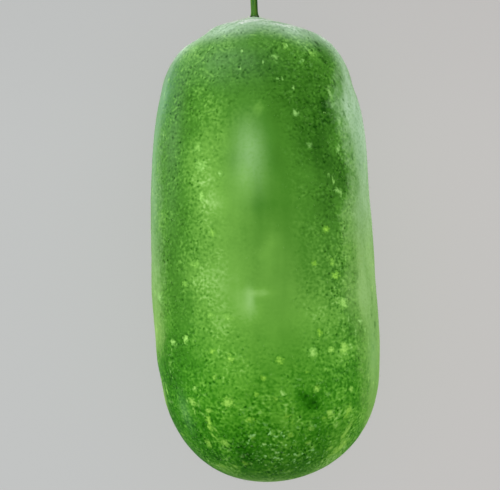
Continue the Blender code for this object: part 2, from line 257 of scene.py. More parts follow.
# Where the net is fainter, below 0, or stronger: station, angle, change, half length, half angle
NET_PATCHES = (
    (110, 90, -0.95, 50, 17), (180, 84, -0.95, 55, 19), (255, 84, -0.8, 40, 18), (150, 107, -0.55, 60, 8),
    (225, 105, -0.6, 32, 10), (80, 56, 0.1, 50, 14), (125, 58, -0.35, 25, 10), (78, 144, 0.55, 35, 14),
    (260, 140, -0.14, 60, 14), (230, 52, 0.25, 60, 12), (345, 85, 0.3, 30, 60), (140, 268, -0.65, 60, 20),
)
NET_RANGE = (0.05, 1.5)

# The grain of the skin: its stretch, and how far the two ends draw it out
GRAIN_STRETCH = (0.92, 1.0, 0.80)
GRAIN_DRAWING = 0.55
GRAIN_TURN = 0.32

# Along the two pale rims, partly wax bloom and partly painted sheen down the sides: stations, and how
# high the right one reaches, how pale and how waxy they are
RIM_REACH = (
    (45, 60, 76, 90, 105, 122, 138, 165, 200, 230, 262, 290, 310, 340),
    (24, 32, 37, 35, 32, 30, 28, 36, 34, 38, 30, 28, 25, 16))
RIM_TAIL = 13.0
RIM_SOFTNESS = 6.0
RIGHT_PALE = ((80, 130, 190, 320), (0.14, 0.34, 0.50, 0.46))
LEFT_PALE = ((60, 100, 180, 220, 260), (0.02, 0.08, 0.22, 0.42, 0.65))
RIGHT_WAX_AND_SHEEN = ((50, 80, 120, 160, 190, 225, 270, 330), (0.46, 0.70, 0.54, 0.35, 0.18, 0.16, 0.08, 0.04))
LEFT_WAX_AND_SHEEN = ((30, 45, 60, 100, 200, 250, 300), (0.46, 0.37, 0.30, 0.25, 0.18, 0.09, 0.02))

# Patches of wax: station, angle, strength, half length, half angle. The two near 96 degrees, at 120
# and 229 mm, are painted highlights in the wax's colour.
WAX_AND_HIGHLIGHT_PATCHES = (
    (28, 154, 0.36, 12, 11), (20, 163, 0.15, 9, 8), (5, 125, 0.35, 7, 30), (24, 57, 0.12, 9, 7),
    (18, 122, 0.16, 7, 24), (18, 60, 0.14, 7, 14), (44, 115, 0.08, 18, 28), (100, 143, 0.06, 60, 8),
    (318, 142.5, 0.08, 14, 4), (229, 97.5, 0.1, 9, 2.2), (120, 96, 0.18, 24, 7), (28, 20, 0.42, 18, 12),
    (160, 245, 0.25, 50, 16), (90, 300, 0.25, 40, 14),
)
WAX_LIMIT = 0.96
CONE_WAX_REACH = (0.0168, 0.008)     # on top, and what the two sides add

# Blue-green patches along the two sides, painted sheen, with the same values
TEAL_PATCHES = (
    (65, 160, 0.5, 28, 12), (110, 168, 0.45, 30, 9), (160, 162, 0.15, 30, 8), (275, 24, 0.18, 22, 7),
    (105, 20, 0.2, 30, 12),
)

# Small swells of the skin: height and size, in metres
SKIN_SWELLS = ((0.00030, 0.022), (0.00016, 0.0095), (0.00010, 0.0052))
POLE_RADIUS = 0.010

# Short hairs
HAIR_COUNT = 9000
HAIR_SEED = 7
HAIR_LENGTH = (0.0010, 0.0028)
HAIR_RADIUS = 0.000032
HAIR_LEAN = 0.55
HAIR_BEND = 0.18
HAIR_DEPTH = 0.0004
LOWEST_HAIR = 0.004
FEWEST_HAIRS = 0.15

# Sizes of the skin's noises and cells
CLOUD_SIZE = 0.040
PATCH_SIZE = 0.024
STREAK_SIZE = 0.015
WAX_CLOUD_SIZE = 0.014
SHARE_SIZE = 0.013
BLOTCH_SIZE = 0.010
RIM_EDGE_SIZE = 0.009
SHAKE_SIZE = 0.008
SHAKE_REACH = 0.0026
PIT_SIZE = 0.0040
CURL_SIZE = 0.0038
RAGGED_SIZE = 0.0034
FLAKE_SIZE = 0.0034
WEAVE_SIZE = 0.0023
FINE_SIZE = 0.0019
SKIN_BUMP = 0.00040


# Shape of the skin

def half_profile(start, end, along, across):
    """Stations and radii of one superellipse end, from its pole to the widest ring."""
    step = np.linspace(0.0, 1.0, PROFILE_SAMPLES)
    angle = 0.5 * math.pi * step * step * (3.0 - 2.0 * step)
    station = end + (start - end) * np.clip(np.cos(angle), 0.0, 1.0) ** (2.0 / along)
    radius = FRUIT_RADIUS * np.sin(angle) ** (2.0 / across)
    return station, radius


def fruit_profile():
    """The fruit's outline as stations and radii against the share of its length walked."""
    top_station, top_radius = half_profile(
        CONE_HEIGHT, WIDEST_STATION, SHOULDER_ALONG, SHOULDER_ACROSS)
    low_station, low_radius = half_profile(
        FRUIT_LENGTH, WIDEST_STATION, BLOSSOM_ALONG, BLOSSOM_ACROSS)
    station = np.concatenate((top_station, low_station[-2::-1]))
    radius = np.concatenate((top_radius, low_radius[-2::-1]))
    rounded = np.sqrt(radius ** 2 + CONE_TIP_ROUNDING ** 2) - CONE_TIP_ROUNDING
    on_shoulder = station < WIDEST_STATION
    station = station - np.where(on_shoulder, CONE_HEIGHT * np.exp(-rounded / CONE_SPREAD), 0.0)
    scar = SCAR_DEPTH * np.exp(-(radius / SCAR_RADIUS) ** 2)
    station = station - np.where(on_shoulder, 0.0, scar)
    walked = np.concatenate(([0.0], np.cumsum(np.hypot(np.diff(station), np.diff(radius)))))
    return walked / walked[-1], station, radius


PROFILE = fruit_profile()


def soft_patches(station, angle, patches):
    """Sum of soft patches at a place on the skin."""
    total = np.zeros_like(station)
    for place, direction, strength, half_length, half_angle in patches:
        away = (station / MM - place) / half_length
        turn = (angle - direction + 180.0) % 360.0 - 180.0
        total += strength * np.exp(-away ** 2 - (turn / half_angle) ** 2)
    return total


def centreline_x(station):
    """Sideways place of the fruit's middle at a distance from the stem."""
    share = np.maximum(station, 0.0) / FRUIT_LENGTH / BOW_PEAK
    bow = BOW * np.sin(0.5 * math.pi * share ** BOW_GROWTH)
    return CENTRELINE_X + bow + STEM_OFFSET * np.exp(-(station / STEM_OFFSET_FADE) ** 2)


def lobe_share(station, angle):
    """Share of the radius that the lobes add."""
    strength = LOBE_AT_BELLY + (1.0 - LOBE_AT_BELLY) * np.exp(-(station / LOBE_FADE) ** 2)
    return strength * sum(
        share * np.cos(count * np.radians(angle - phase)) for count, share, phase in LOBES)


def rest_height(height):
    """Height above the surface, with the underside pressed flat and blended into the round."""
    blended = (height + REST_BLEND) ** 2 / (4.0 * REST_BLEND)
    return np.where(height <= -REST_BLEND, 0.0, np.where(height < REST_BLEND, blended, height))


def skin_points(walked, angle, lift=0.0):
    """Points of the skin at shares of the way down the profile and angles round the girth."""
    station = np.interp(walked, PROFILE[0], PROFILE[1])
    radius = np.interp(walked, PROFILE[0], PROFILE[2])
    full = np.minimum(radius / (0.5 * FRUIT_RADIUS), 1.0)
    swelling = MM * soft_patches(station, angle, UNEVENNESS)
    radius = radius + full * (swelling + radius * lobe_share(station, angle))
    turn = np.radians(angle)
    x = centreline_x(station) + (radius + lift) * np.cos(turn)
    z = rest_height(AXIS_HEIGHT + (radius + lift) * np.sin(turn))
    return np.stack((x, BALANCE_STATION - station, z), axis=-1)


def skin_normals(walked, angle):
    """Outward directions of the skin at the same places, from small steps along it."""
    step_walked = 0.002
    step_angle = 0.5
    low = np.clip(walked - step_walked, 0.0, 1.0)
    high = np.clip(walked + step_walked, 0.0, 1.0)
    along = skin_points(high, angle) - skin_points(low, angle)
    around = skin_points(walked, angle + step_angle) - skin_points(walked, angle - step_angle)
    normal = np.cross(around, along)
    length = np.linalg.norm(normal, axis=-1, keepdims=True)
    return normal / np.maximum(length, 1e-12)


def walked_at(station):
    """Share of the way down the profile at a distance from the stem."""
    return np.interp(station, PROFILE[1], PROFILE[0])


# Mesh and material helpers

def smooth_step(low, high, value):
    """0 below low, 1 above high, and a smooth rise between."""
    share = np.clip((value - low) / (high - low), 0.0, 1.0)
    return share * share * (3.0 - 2.0 * share)


def new_object(name, data):
    """An object linked to the scene."""
    added = bpy.data.objects.new(name, data)
    bpy.context.scene.collection.objects.link(added)
    return added


def new_piece(name, points, faces, material):
    """An object of one mesh and one material, linked to the scene."""
    mesh = bpy.data.meshes.new(name)
    mesh.from_pydata(points, [], faces)
    mesh.update()
    mesh.materials.append(material)
    return new_object(name, mesh)


def ring_faces(start, rings, sides):
    """Faces between rings of points, which are listed ring after ring from a first point on."""
    faces = []
    for near in range(start, start + (rings - 1) * sides, sides):
        far = near + sides
        for side in range(sides):
            after = (side + 1) % sides
            faces.append((far + side, near + side, near + after, far + after))
    return faces


def add_fields(mesh, fields):
    """Store one number a point under each name, for the material to read."""
    for name, values in fields.items():
        layer = mesh.attributes.new(name, "FLOAT", "POINT")
        layer.data.foreach_set("value", np.array(values, dtype=np.float32))


# A mix node's sockets for the share and the two colours, and for the result
MIX_INPUTS = (0, 6, 7)
MIX_OUTPUT = 2


class Graph:
    """A material's node tree, with short calls for the nodes used here."""

    def __init__(self, name):
        self.material = bpy.data.materials.new(name)
        self.material.use_nodes = True
        self.tree = self.material.node_tree
        self.shader = self.tree.nodes["Principled BSDF"]

    def node(self, kind, **settings):
        """Add a node and set its properties."""
        node = self.tree.nodes.new(kind)
        for key, value in settings.items():
            setattr(node, key, value)
        return node

    def feed(self, socket, value):
        """Link a socket to another, or set its value."""
        if isinstance(value, bpy.types.NodeSocket):
            self.tree.links.new(value, socket)
        else:
            socket.default_value = value

    def math(self, operation, first, second=0.0, kind="ShaderNodeMath"):
        """One arithmetic node."""
        node = self.node(kind, operation=operation)
        self.feed(node.inputs[0], first)
        self.feed(node.inputs[1], second)
        return node.outputs[0]

    def vector(self, operation, first, second):
        """One vector arithmetic node."""
        return self.math(operation, first, second, "ShaderNodeVectorMath")

    def place(self, stretch=(1.0, 1.0, 1.0)):
        """Object coordinates, stretched by a factor along each axis."""
        return self.vector("MULTIPLY", self.node("ShaderNodeTexCoord").outputs["Object"], stretch)

    def attribute(self, name):
        """A number stored on the mesh's points."""
        return self.node("ShaderNodeAttribute", attribute_name=name).outputs["Fac"]

    def texture(self, kind, place, size):
        """A texture node whose largest features are about size metres."""
        node = self.node(kind)
        self.feed(node.inputs["Vector"], place)
        node.inputs["Scale"].default_value = 1.0 / size
        return node

    def noise(self, place, size, detail=2.0, rough=0.5):
        """Cloudy noise."""
        node = self.texture("ShaderNodeTexNoise", place, size)
        node.inputs["Detail"].default_value = detail
        node.inputs["Roughness"].default_value = rough
        return node.outputs["Fac"]

    def cells(self, place, size):
        """Distance to the middle of the nearest of many cells."""
        return self.texture("ShaderNodeTexVoronoi", place, size).outputs["Distance"]

    def add(self, first, *others):
        """Sum of numbers."""
        for other in others:
            first = self.math("ADD", first, other)
        return first

    def times(self, first, *others):
        """Product of numbers."""
        for other in others:
            first = self.math("MULTIPLY", first, other)
        return first

    def swing(self, value, reach):
        """A noise about 0.5 turned into a swing about 0."""
        return self.times(self.math("SUBTRACT", value, 0.5), reach)

    def rise(self, value, low, high, bottom=0.0, top=1.0):
        """Smooth step of a value from bottom, at low, to top, at high."""
        node = self.node("ShaderNodeMapRange", interpolation_type="SMOOTHSTEP")
        for socket, number in zip(node.inputs, (value, low, high, bottom, top)):
            self.feed(socket, number)
        return node.outputs["Result"]

    def ramp(self, value, ends, colours):
        """Colours evenly spread over the values between two ends."""
        share = self.math("DIVIDE", self.math("SUBTRACT", value, ends[0]), ends[1] - ends[0])
        node = self.node("ShaderNodeValToRGB")
        self.feed(node.inputs["Fac"], share)
        stops = node.color_ramp.elements
        while len(stops) < len(colours):
            stops.new(0.5)
        for index, colour in enumerate(colours):
            stops[index].position = index / (len(colours) - 1)
            stops[index].color = colour
        return node.outputs["Color"]

    def mix(self, share, first, second):
        """Blend of two colours."""
        node = self.node("ShaderNodeMix", data_type="RGBA")
        for index, value in zip(MIX_INPUTS, (share, first, second)):
            self.feed(node.inputs[index], value)
        return node.outputs[MIX_OUTPUT]

    def warp(self, place, size, reach):
        """Coordinates pushed about by noise, by reach metres."""
        noises = self.texture("ShaderNodeTexNoise", place, size).outputs["Color"]
        centred = self.vector("SUBTRACT", noises, (0.5, 0.5, 0.5))
        return self.vector("ADD", place, self.vector("MULTIPLY", centred, (reach, reach, reach)))

    def bump(self, height, depth, strength):
        """Bump of a height between 0 and 1, depth metres high."""
        node = self.node("ShaderNodeBump")
        node.inputs["Strength"].default_value = strength
        node.inputs["Distance"].default_value = depth
        self.feed(node.inputs["Height"], height)
        return node.outputs["Normal"]


def tint(red, green, blue):
    """A colour given by its three display values of 255, as linear light."""
    def linear(value):
        share = value / 255.0
        return share / 12.92 if share <= 0.04045 else ((share + 0.055) / 1.055) ** 2.4
    return (linear(red), linear(green), linear(blue), 1.0)


# Greens of the skin from dark to bright, near the stem and near the blossom end
LEVEL_RANGE = (-0.5, 1.5)
HIGH_GREENS = (
    tint(20, 66, 3), tint(46, 96, 20), tint(67, 122, 35), tint(103, 156, 61), tint(150, 196, 110))
LOW_GREENS = (
    tint(12, 66, 0), tint(32, 98, 4), tint(54, 125, 18), tint(93, 159, 44), tint(145, 199, 95))

# Colours of what lies on the skin
MARK_GREEN = tint(128, 182, 90)
FLECK_YELLOW = tint(120, 178, 52)
FLECK_PALE = tint(128, 184, 94)
CORE_YELLOW = tint(150, 206, 74)
CORE_PALE = tint(158, 206, 122)
FLAKE_GREEN = tint(146, 206, 116)
# The rim green and the blue-green are painted sheen; the wax colours also paint highlights and sheen.
RIM_SHEEN_GREEN = tint(148, 192, 88)
TEAL_GREEN = tint(100, 160, 112)
THIN_WAX_AND_SHEEN = tint(184, 212, 184)
THICK_WAX_AND_SHEEN = tint(216, 228, 214)
CORK_DARK = tint(84, 92, 44)
CORK_PALE = tint(138, 146, 88)


# Skin

def skin_grain(graph):
    """What the skin's colours share: its net of curly lines and pits, and the noises under it."""
    place = graph.place()
    grain_place = graph.node("ShaderNodeAttribute", attribute_name="grain_place").outputs["Vector"]
    shaken = graph.warp(grain_place, SHAKE_SIZE, SHAKE_REACH)
    low = graph.attribute("low")
    patch = graph.noise(place, PATCH_SIZE, 2.0, 0.6)
    curl = graph.noise(shaken, CURL_SIZE, 1.0, 0.5)
    share = graph.rise(graph.noise(place, SHARE_SIZE, 2.0, 0.6), 0.36, 0.64, 0.50, 1.20)
    off_rim = graph.rise(graph.attribute("rim"), 0.2, 0.9, 1.0, 0.5)
    strength = graph.times(graph.attribute("net"), share, off_rim)
    weave = graph.swing(graph.noise(shaken, WEAVE_SIZE, 0.4, 0.5), 1.32)
    weave = graph.times(weave, graph.rise(low, 0.5, 1.0, 1.0, 1.12))
    line = graph.rise(graph.math("ABSOLUTE", graph.math("SUBTRACT", curl, 0.52)), 0.045, 0.0)
    pit = graph.rise(graph.cells(shaken, PIT_SIZE), 0.33, 0.10)
    pit = graph.times(pit, graph.rise(patch, 0.30, 0.56, 0.15, 1.0))
    return SimpleNamespace(
        place=place, shaken=shaken, low=low, patch=patch, curl=curl, strength=strength, weave=weave,
        line=graph.times(line, strength), pit=graph.times(pit, strength),
        fine=graph.noise(grain_place, FINE_SIZE, 2.0, 0.6),
        ragged=graph.noise(grain_place, RAGGED_SIZE, 3.0, 0.62),
        near_fleck=graph.attribute("fleck"), fleck_strength=graph.attribute("fleck_strength"),
        dark=graph.times(graph.attribute("dark"), graph.rise(curl, 0.35, 0.62, 1.15, 0.45)))


def rind_colour(graph, grain):
    """Green of the rind, from slow changes of tone with painted highlights, light and shade among them, the
    net, rings round flecks and dark marks.
    """
    cloud = graph.noise(grain.place, CLOUD_SIZE, 2.0, 0.5)
    streak = graph.noise(graph.place((1.0, 0.22, 1.0)), STREAK_SIZE, 2.0, 0.55)
    # The tone patches hold painted highlights and painted light and shade besides the rind's own tone.
    tone = graph.add(graph.attribute("tone"), graph.swing(cloud, 0.30), graph.swing(streak, 0.36))
    fine = graph.times(graph.add(graph.swing(grain.fine, 0.40), 0.03), grain.strength)
    net = graph.add(graph.times(grain.weave, grain.strength), graph.times(grain.line, 0.12),
                    graph.times(grain.pit, -0.56), fine)
    blotch = graph.noise(grain.shaken, BLOTCH_SIZE, 3.0, 0.62)
    blotch = graph.times(graph.swing(blotch, 1.0), graph.rise(grain.strength, 0.0, 1.0, 0.35, 1.0))
    blotch = graph.times(blotch, graph.rise(grain.low, 0.0, 1.0, 0.28, 0.70))
    ring = graph.times(graph.rise(grain.near_fleck, 0.0, 0.22), graph.rise(grain.near_fleck, 0.50, 0.25))
    ring = graph.times(ring, grain.fleck_strength, graph.rise(grain.curl, 0.40, 0.60, 0.0, -0.30))
    level = graph.add(tone, net, blotch, ring, graph.times(grain.dark, -0.85))
    return graph.mix(grain.low, graph.ramp(level, LEVEL_RANGE, HIGH_GREENS),
                     graph.ramp(level, LEVEL_RANGE, LOW_GREENS))


def add_flecks(graph, grain, skin):
    """Small pale marks in the net, the flecks, and flakes near the blossom end: colour and flecks."""
    mark = graph.rise(graph.add(grain.ragged, graph.swing(grain.patch, 0.20)), 0.57, 0.71)
    mark = graph.times(mark, grain.strength, graph.rise(grain.low, 0.0, 1.0, 0.14, 0.28))
    skin = graph.mix(mark, skin, MARK_GREEN)
    pale = graph.attribute("fleck_pale")
    edge = graph.add(grain.near_fleck, graph.swing(grain.ragged, 1.7), graph.swing(grain.fine, 0.9))
    inside = graph.rise(grain.near_fleck, 0.0, 0.25)
    fleck = graph.times(graph.rise(edge, 0.26, 0.80), inside, grain.fleck_strength)
    core = graph.times(graph.rise(edge, 0.60, 1.05), fleck)
    skin = graph.mix(graph.times(fleck, 0.95), skin, graph.mix(pale, FLECK_YELLOW, FLECK_PALE))
    skin = graph.mix(core, skin, graph.mix(pale, CORE_YELLOW, CORE_PALE))
    flake = graph.rise(graph.noise(graph.place((1.0, 0.8, 1.0)), FLAKE_SIZE, 1.2, 0.5), 0.61, 0.72)
    gathered = graph.rise(graph.attribute("speckle"), 0.0, 0.7, 0.04, 0.95)
    flake = graph.times(flake, gathered, graph.rise(grain.strength, 0.0, 1.0))
    return graph.mix(flake, skin, FLAKE_GREEN), fleck


def add_wax_and_sheen(graph, grain, skin):
    """Pale rims with ragged edges, partly painted sheen, blue-green patches of painted sheen, and wax with
    painted highlights: colour, and the share of wax and sheen.
    """
    wax_cloud = graph.noise(graph.place((1.0, 0.4, 1.0)), WAX_CLOUD_SIZE, 2.0, 0.55)
    uneven = graph.rise(wax_cloud, 0.30, 0.66, 0.75, 1.12)
    rim_edge = graph.swing(graph.noise(grain.place, RIM_EDGE_SIZE, 3.0, 0.6), 0.5)
    rim_edge = graph.add(graph.attribute("rim"), rim_edge, graph.swing(grain.ragged, 0.5))
    undarkened = graph.rise(grain.dark, 0.0, 0.7, 1.0, 0.35)
    rim = graph.times(graph.rise(rim_edge, 0.10, 0.90), uneven, undarkened)
    # Pale rim green: painted sheen along the sides, partly wax.
    skin = graph.mix(graph.times(rim, graph.attribute("rim_pale")), skin, RIM_SHEEN_GREEN)
    # Blue-green: painted sheen along the sides.
    teal = graph.times(graph.attribute("teal"), graph.rise(grain.weave, -0.25, 0.25, 1.1, 0.6))
    skin = graph.mix(teal, skin, TEAL_GREEN)
    # Wax, with painted highlights from its patches and painted sheen from the rims.
    wax_and_sheen = graph.times(graph.attribute("wax_and_sheen"), uneven, undarkened)
    wax_and_sheen = graph.add(graph.times(rim, graph.attribute("rim_wax_and_sheen")), wax_and_sheen)
    wax_and_sheen = graph.times(wax_and_sheen, graph.rise(grain.pit, 0.0, 1.0, 1.0, 0.4))
    wax_and_sheen = graph.times(wax_and_sheen, graph.rise(grain.weave, -0.30, 0.05, 0.74, 1.0))
    # Wax colours, which also paint the highlights and the rims' sheen.
    bloom_and_sheen = graph.mix(graph.rise(wax_and_sheen, 0.74, 0.98), THIN_WAX_AND_SHEEN, THICK_WAX_AND_SHEEN)
    return graph.mix(wax_and_sheen, skin, bloom_and_sheen), wax_and_sheen


def add_scar(graph, grain, skin):
    """Corky scar at the blossom end."""
    scar = graph.add(graph.attribute("scar"), graph.times(grain.ragged, 0.35))
    cork = graph.mix(graph.rise(grain.curl, 0.35, 0.65), CORK_DARK, CORK_PALE)
    return graph.mix(graph.rise(scar, 0.62, 0.80), skin, cork)


def skin_material():
    """Green rind: tones with painted highlights and shade, net of pits, dark marks, flecks, flakes, pale
    rims partly of painted sheen, wax and scar.
    """
    graph = Graph("gourd_skin")
    grain = skin_grain(graph)
    skin, fleck = add_flecks(graph, grain, rind_colour(graph, grain))
    skin, wax_and_sheen = add_wax_and_sheen(graph, grain, skin)
    graph.feed(graph.shader.inputs["Base Color"], add_scar(graph, grain, skin))
    rough = graph.rise(grain.patch, 0.3, 0.7, 0.50, 0.62)
    rough = graph.add(rough, graph.times(wax_and_sheen, 0.20), graph.times(grain.pit, 0.08))
    graph.feed(graph.shader.inputs["Roughness"], rough)
    height = graph.add(graph.times(grain.weave, grain.strength, 0.8), graph.times(grain.line, 0.3),
                       graph.times(grain.pit, -0.7), graph.times(fleck, 0.15))
    graph.feed(graph.shader.inputs["Normal"], graph.bump(height, SKIN_BUMP, 0.55))
    graph.shader.inputs["Specular IOR Level"].default_value = 0.02
    return graph.material


# Fields of the skin

def all_flecks():
    """The flecks and strokes as listed, and seeded flecks for the rest of the skin."""
    flecks = list(FLECKS)
    chance = random.Random(FLECK_SEED)
    first, last = EXTRA_STATIONS
    while len(flecks) < len(FLECKS) + EXTRA_FLECKS:
        station = first + (last - first) * chance.random() ** EXTRA_CROWDING
        angle = chance.uniform(0.0, 360.0)
        size = chance.uniform(*EXTRA_HALF_SIZE)
        stretch = chance.uniform(*EXTRA_STRETCH)
        strength = chance.uniform(*EXTRA_STRENGTH)
        paleness = chance.uniform(*EXTRA_PALENESS)
        if not LISTED_ANGLES[0] < angle < LISTED_ANGLES[1]:
            flecks.append((station, angle, size * stretch, size / stretch, strength, paleness))
    unslanted = [(*shape, 0.0, strength, paleness) for *shape, strength, paleness in flecks]
    return unslanted + list(STROKES)


def nearness_to(points, station, angle, half_length, half_width, slant):
    """1 in the middle of a small mark on the skin, falling to 0 at about twice its half sizes."""
    middle = skin_points(np.array([walked_at(MM * station)]), np.array([float(angle)]))[0]
    offset = (points - middle) / MM
    turn = math.radians(angle)
    outward = offset[:, 0] * math.cos(turn) + offset[:, 2] * math.sin(turn)
    around = offset[:, 0] * math.sin(turn) - offset[:, 2] * math.cos(turn)
    tilt = math.radians(slant)
    along = offset[:, 1] * math.cos(tilt) + around * math.sin(tilt)
    across = around * math.cos(tilt) - offset[:, 1] * math.sin(tilt)
    reach = np.hypot(along / half_length, across / half_width)
    return 1.0 - np.hypot(reach, outward / (0.5 * (half_length + half_width))) / 2.1


def dark_field(points):
    """How dark the dark marks make each point."""
    dark = np.zeros(len(points))
    for *shape, strength in DARK_MARKS:
        dark = np.maximum(dark, strength * smooth_step(0.0, 0.75, nearness_to(points, *shape)))
    return dark


def fleck_fields(points):
    """Nearness to a fleck's middle, from 0 to 1, with that fleck's strength and paleness."""
    near = np.zeros(len(points))
    strong = np.zeros(len(points))
    pale = np.zeros(len(points))
    for *shape, strength, paleness in all_flecks():
        nearness = nearness_to(points, *shape)
        nearer = nearness > near
        near = np.where(nearer, nearness, near)
        strong = np.where(nearer, strength, strong)
        pale = np.where(nearer, paleness, pale)
    return {"fleck": near, "fleck_strength": strong, "fleck_pale": pale}


def value_at(station, table):
    """A table's value at a station."""
    return np.interp(station / MM, *table)


def wander(station):
    """Degrees by which the rims' lower edges wander along the fruit."""
    slow = 7.0 * np.sin(43.0 * station + 1.2) + 4.0 * np.sin(127.0 * station + 2.0)
    return slow + 3.0 * np.sin(205.0 * station + 4.0)


def right_rim(station, angle):
    """How strongly the right side's pale rim of wax and painted sheen shows, and where its main band lies.
    """
    turn = (angle + 180.0) % 360.0 - 180.0
    turn = turn + wander(station) * smooth_step(8.0, -10.0, turn) * smooth_step(-90.0, -60.0, turn)
    reach = value_at(station, RIM_REACH)
    band = smooth_step(reach + RIM_SOFTNESS, reach - RIM_SOFTNESS, turn)
    tail = smooth_step(reach + RIM_TAIL + RIM_SOFTNESS, reach + RIM_TAIL - RIM_SOFTNESS, turn)
    # Painted sheen at the right side's outermost edge.
    limb = smooth_step(22.0, 8.0, turn)
    taper = smooth_step(0.22, 0.34, station)
    below = 0.15 * (1.0 - taper) + (0.85 + 0.15 * taper) * smooth_step(-52.0 + 42.0 * taper, 11.0, turn)
    rim = (0.54 * band + 0.44 * tail + 0.24 * limb) * below * smooth_step(-70.0, -20.0, turn)
    rim *= smooth_step(0.014, 0.042, station) * smooth_step(0.354, 0.318, station)
    return rim, band


def left_rim(station, angle):
    """How strongly the left side's narrow rim of wax and painted sheen shows, with one short patch past its
    end.
    """
    turn = angle - 180.0
    turn = turn + 0.5 * wander(station) * smooth_step(-4.0, 16.0, turn)
    wider = 2.0 * np.exp(-((station - 0.20) / 0.07) ** 2)
    lower_edge = smooth_step(42.0 - 16.0 * smooth_step(0.18, 0.29, station), -3.0, turn)
    rim = smooth_step(-42.0 - wider, -6.0 - wider, turn) * lower_edge * smooth_step(0.294, 0.254, station)
    patch = 0.9 * smooth_step(-24.0, -10.0, turn) * lower_edge
    return np.maximum(rim, patch * np.exp(-((station - 0.310) / 0.012) ** 2))


def wax_and_highlight_share(station, angle):
    """Wax on the cone under the stem, below the fruit and in patches, two of which are painted highlights.
    """
    side = np.abs(np.cos(np.radians(angle)))
    reach, side_reach = CONE_WAX_REACH
    wax_and_sheen = WAX_LIMIT * np.exp(-(np.maximum(station, 0.0) / (reach + side_reach * side)) ** 3.2)
    wax_and_sheen += 0.15 * np.exp(-((angle - 270.0) / 60.0) ** 2)
    return np.clip(wax_and_sheen + soft_patches(station, angle, WAX_AND_HIGHLIGHT_PATCHES), 0.0, WAX_LIMIT)


def rim_fields(station, angle):
    """Where the pale rims of wax and painted sheen lie, how pale and waxy they are, and the wax with
    painted highlights and the painted blue-green sheen elsewhere.
    """
    right, band = right_rim(station, angle)
    is_right = np.cos(np.radians(angle)) > 0.0
    right_wax_and_sheen = value_at(station, RIGHT_WAX_AND_SHEEN) * (0.62 + 0.38 * band)
    rim_wax_and_sheen = np.where(is_right, right_wax_and_sheen, value_at(station, LEFT_WAX_AND_SHEEN))
    underside = smooth_step(164.0, 196.0, angle) * smooth_step(357.0, 336.0, angle)
    return {
        "rim": np.maximum(right, left_rim(station, angle)),
        "rim_pale": np.where(is_right, value_at(station, RIGHT_PALE), value_at(station, LEFT_PALE)),
        "rim_wax_and_sheen": rim_wax_and_sheen * (1.0 - 0.50 * underside),
        "wax_and_sheen": wax_and_highlight_share(station, angle) * (1.0 - 0.62 * underside),
        "teal": np.clip(soft_patches(station, angle, TEAL_PATCHES), 0.0, 0.9),
    }


def fine_relief(points):
    """Small swells of the skin in metres, from smooth noise at three sizes."""
    heights = np.empty(len(points))
    for index, (x, y, z) in enumerate(points):
        place = Vector((x, y, z))
        heights[index] = sum(height * noise.noise(place / size) for height, size in SKIN_SWELLS)
    return heights


def grain_places(points, radius, angle):
    """Coordinates of the skin's grain, which is drawn out along the two ends."""
    turning = GRAIN_TURN * FRUIT_RADIUS
    inner = radius * (FRUIT_RADIUS - turning) / turning
    drawn = GRAIN_DRAWING * np.minimum(inner, FRUIT_RADIUS - radius)
    drawn *= np.maximum(np.sin(np.radians(angle)), 0.0)
    places = points.copy()
    places[:, 2] += drawn
    return places * GRAIN_STRETCH


def skin_grid():
    """Points of the skin, as shares of the way from pole to pole and angles, and its faces."""
    inner = np.arange(1, LENGTH_RINGS) / LENGTH_RINGS
    turns = np.arange(GIRTH_SEGMENTS) * 360.0 / GIRTH_SEGMENTS
    share = np.concatenate(([0.0], np.repeat(inner, GIRTH_SEGMENTS), [1.0]))
    angle = np.concatenate(([POLE_ANGLE], np.tile(turns, LENGTH_RINGS - 1), [POLE_ANGLE]))
    low_pole = len(share) - 1
    low_ring = low_pole - GIRTH_SEGMENTS
    faces = ring_faces(1, LENGTH_RINGS - 1, GIRTH_SEGMENTS)
    for side in range(GIRTH_SEGMENTS):
        after = (side + 1) % GIRTH_SEGMENTS
        faces.append((1 + side, 0, 1 + after))
        faces.append((low_pole, low_ring + side, low_ring + after))
    return share, angle, faces


def make_fruit():
    """The fruit's skin: fine rings laid along the profile, with their relief and their fields."""
    share, angle, faces = skin_grid()
    walked = share - RING_CROWDING * np.sin(2.0 * math.pi * share) / (2.0 * math.pi)
    station = np.interp(walked, PROFILE[0], PROFILE[1])
    radius = np.interp(walked, PROFILE[0], PROFILE[2])
    points = skin_points(walked, angle)
    relief = fine_relief(points) * smooth_step(0.0, POLE_RADIUS, radius)
    points = skin_points(walked, angle, relief)
    fruit = new_piece("gourd_skin", points.tolist(), faces, skin_material())
    fruit.data.shade_smooth()
    add_fields(fruit.data, {
        "dark": dark_field(points),
        **fleck_fields(points),
        "scar": np.where(station > WIDEST_STATION, np.exp(-(radius / CORK_RADIUS) ** 2), 0.0),
        "tone": MIDDLE_LEVEL + soft_patches(station, angle, TONE_AND_LIGHT_PATCHES),
        "net": np.clip(1.0 + soft_patches(station, angle, NET_PATCHES), *NET_RANGE),
        "speckle": np.clip(soft_patches(station, angle, SPECKLE_PATCHES), 0.0, 1.0),
        "low": smooth_step(0.20, 0.33, station),
        **rim_fields(station, angle),
    })
    layer = fruit.data.attributes.new("grain_place", "FLOAT_VECTOR", "POINT")
    layer.data.foreach_set("vector", grain_places(points, radius, angle).astype(np.float32).ravel())
    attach(fruit, "root")
    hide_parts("fruit")
    return fruit


# Hairs

def hair_material():
    """Thin white hairs."""
    graph = Graph("skin_hair")
    tone = graph.noise(graph.place(), 0.01)
    graph.feed(graph.shader.inputs["Base Color"],
               graph.mix(tone, tint(130, 176, 88), tint(178, 206, 148)))
    graph.shader.inputs["Roughness"].default_value = 0.5
    return graph.material


